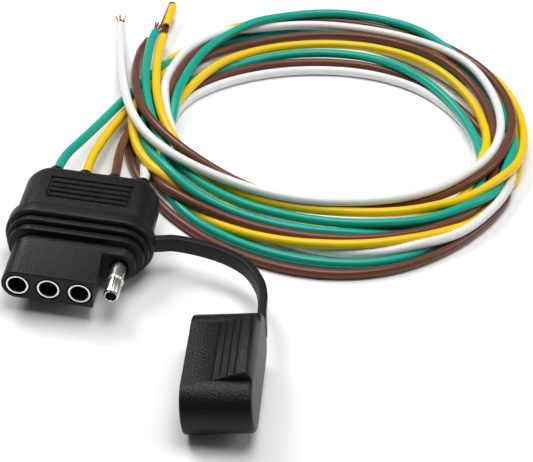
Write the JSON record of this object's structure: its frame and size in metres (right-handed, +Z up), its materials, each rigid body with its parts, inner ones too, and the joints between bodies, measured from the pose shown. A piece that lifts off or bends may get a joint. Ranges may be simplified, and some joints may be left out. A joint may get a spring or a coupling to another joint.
{
  "type": "trailer wiring connector",
  "caption": "Flat trailer wiring plug with socket terminals and one bare pin, a ribbed grip, a rubber dust cap on a strap, and coiled colour-coded leads with stripped ends.",
  "frame": {"origin": "centre of the tether collar's flat underside, where the plug rests on the surface", "axes": "-Y out of the mating nose, +Y the way the leads leave the grip, +X along the row of terminals from the first socket to the pin, +Z up from the surface"},
  "size_m": [0.1326, 0.1897, 0.0182],
  "materials": {
    "terminal_block": "fine-textured black moulding",
    "grip_overmould": "pebbled black moulding",
    "tether_collar": "matt black",
    "strap_link_1": "matt black",
    "strap_link_2": "matt black",
    "strap_link_3": "matt black",
    "strap_link_4": "matt black",
    "strap_link_5": "matt black",
    "dust_cap": "pebbled matt black",
    "socket_green": "bright nickel plate",
    "socket_yellow": "bright nickel plate",
    "socket_brown": "bright nickel plate",
    "pin_white": "bright nickel plate",
    "core_green": "bare copper",
    "core_yellow": "bare copper",
    "core_brown": "bare copper",
    "core_white": "bare copper",
    "lead_green": "soft vinyl insulation",
    "lead_yellow": "soft vinyl insulation",
    "lead_brown": "soft vinyl insulation",
    "lead_white": "soft vinyl insulation",
    "tail_green": "soft vinyl insulation",
    "tail_yellow": "soft vinyl insulation",
    "tail_brown": "soft vinyl insulation",
    "tail_white": "soft vinyl insulation",
    "strands_green": "bare copper",
    "strands_yellow": "bare copper",
    "strands_brown": "bare copper",
    "strands_white": "bare copper",
    "slug_yellow": "soft vinyl insulation",
    "slug_brown": "soft vinyl insulation",
    "wire_coil": "soft vinyl insulation of the coiled wires"
  },
  "bodies": {
    "plug": {"terminal_block": "terminal_block", "grip_overmould": "grip_overmould", "tether_collar": "tether_collar", "socket_green": "socket_green", "socket_yellow": "socket_yellow", "socket_brown": "socket_brown", "pin_white": "pin_white", "core_green": "core_green", "core_yellow": "core_yellow", "core_brown": "core_brown", "core_white": "core_white", "lead_green": "lead_green", "lead_yellow": "lead_yellow", "lead_brown": "lead_brown", "lead_white": "lead_white", "tail_green": "tail_green", "tail_yellow": "tail_yellow", "tail_brown": "tail_brown", "tail_white": "tail_white", "strands_green": "strands_green", "strands_yellow": "strands_yellow", "strands_brown": "strands_brown", "strands_white": "strands_white", "slug_yellow": "slug_yellow", "slug_brown": "slug_brown", "wire_coil": "wire_coil"},
    "strap_link_1": {"strap_link_1": "strap_link_1"},
    "strap_link_2": {"strap_link_2": "strap_link_2"},
    "strap_link_3": {"strap_link_3": "strap_link_3"},
    "strap_link_4": {"strap_link_4": "strap_link_4"},
    "strap_link_5": {"strap_link_5": "strap_link_5"},
    "cap": {"dust_cap": "dust_cap"}
  },
  "joints": [
    {"name": "strap_bend_1", "type": "hinge", "parent": "plug", "child": "strap_link_1", "pos_m": [0.0235, 0.0028, 0.00815], "axis": [0, 0, 1], "range_deg": [-10, 12]},
    {"name": "strap_bend_2", "type": "hinge", "parent": "strap_link_1", "child": "strap_link_2", "pos_m": [0.0305, 0.0021, 0.00815], "axis": [0, 0, 1], "range_deg": [-10, 12]},
    {"name": "strap_bend_3", "type": "hinge", "parent": "strap_link_2", "child": "strap_link_3", "pos_m": [0.037, 0.0001, 0.00815], "axis": [0, 0, 1], "range_deg": [-10, 12]},
    {"name": "strap_bend_4", "type": "hinge", "parent": "strap_link_3", "child": "strap_link_4", "pos_m": [0.0423, -0.0035, 0.00815], "axis": [0, 0, 1], "range_deg": [-10, 12]},
    {"name": "strap_bend_5", "type": "hinge", "parent": "strap_link_4", "child": "strap_link_5", "pos_m": [0.0458, -0.0092, 0.00815], "axis": [0, 0, 1], "range_deg": [-10, 12]},
    {"name": "cap_twist", "type": "hinge", "parent": "strap_link_5", "child": "cap", "pos_m": [0.0474, -0.01765, 0.00815], "axis": [0, 1, 0], "range_deg": [0, 12]}
  ]
}
